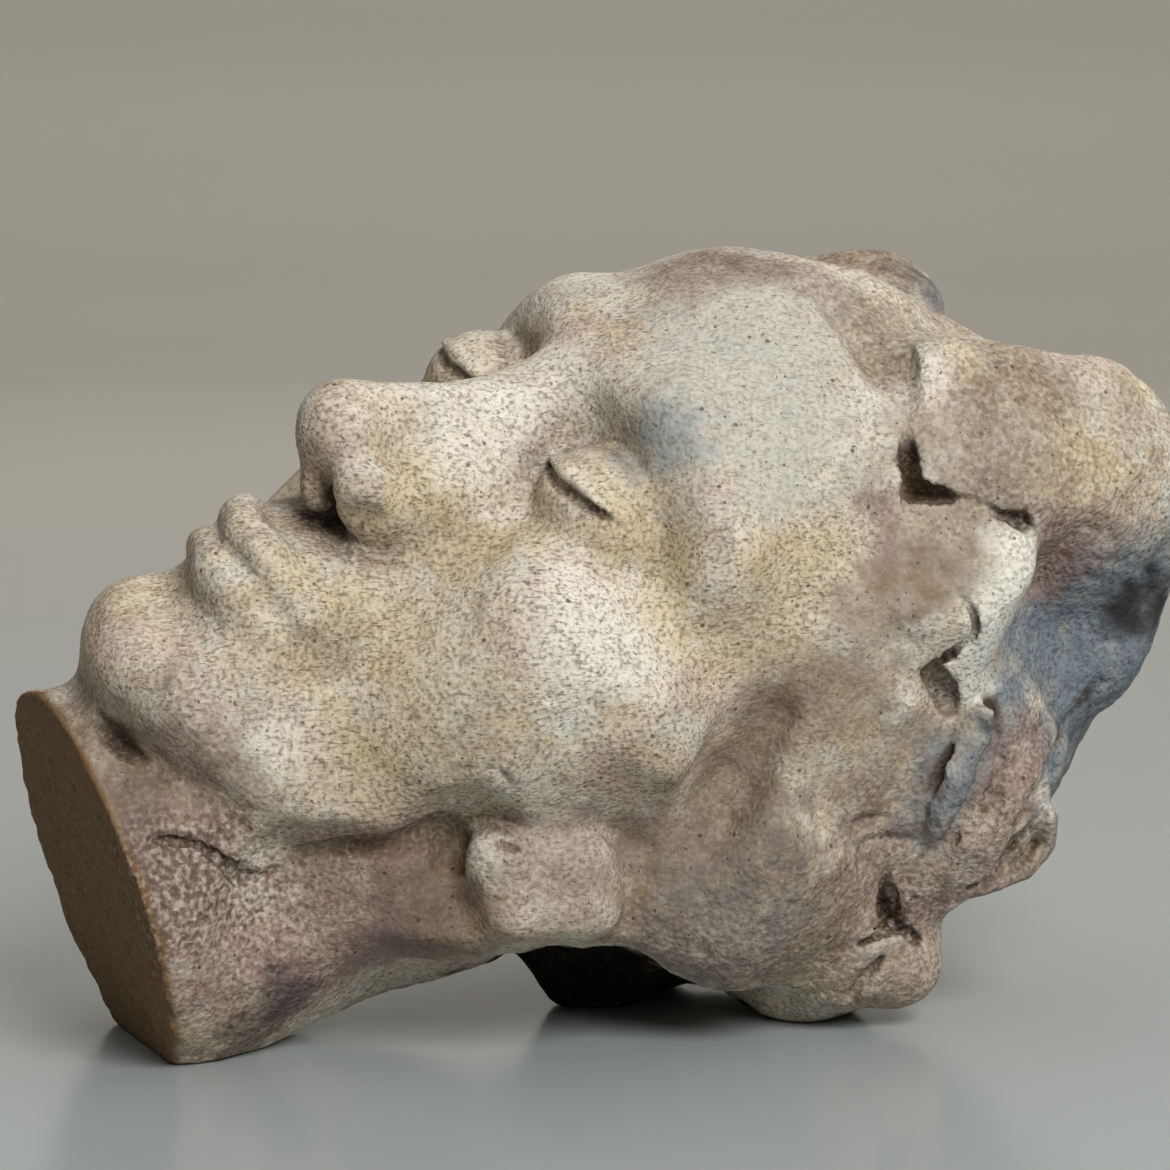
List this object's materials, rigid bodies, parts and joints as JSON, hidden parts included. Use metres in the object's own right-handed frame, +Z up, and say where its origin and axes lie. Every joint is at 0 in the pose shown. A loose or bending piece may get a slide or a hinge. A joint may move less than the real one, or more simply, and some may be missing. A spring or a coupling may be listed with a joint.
{
  "type": "ceramic head sculpture",
  "caption": "Hand-pressed head in unglazed fired clay with closed eyes, cut flat at the neck, lying on its side on the hair and the edge of the neck.",
  "frame": {"origin": "on the table, under the middle of the bounding box", "axes": "+X from the neck towards the crown, +Y away from the side that the figure's left ear is on, +Z up"},
  "size_m": [0.1634, 0.1034, 0.1078],
  "materials": {
    "fired_clay": "matt unglazed buff clay with dark grog, ochre, plum and blue-grey smoke stains"
  },
  "bodies": {
    "root": {"head": "fired_clay"}
  },
  "joints": []
}
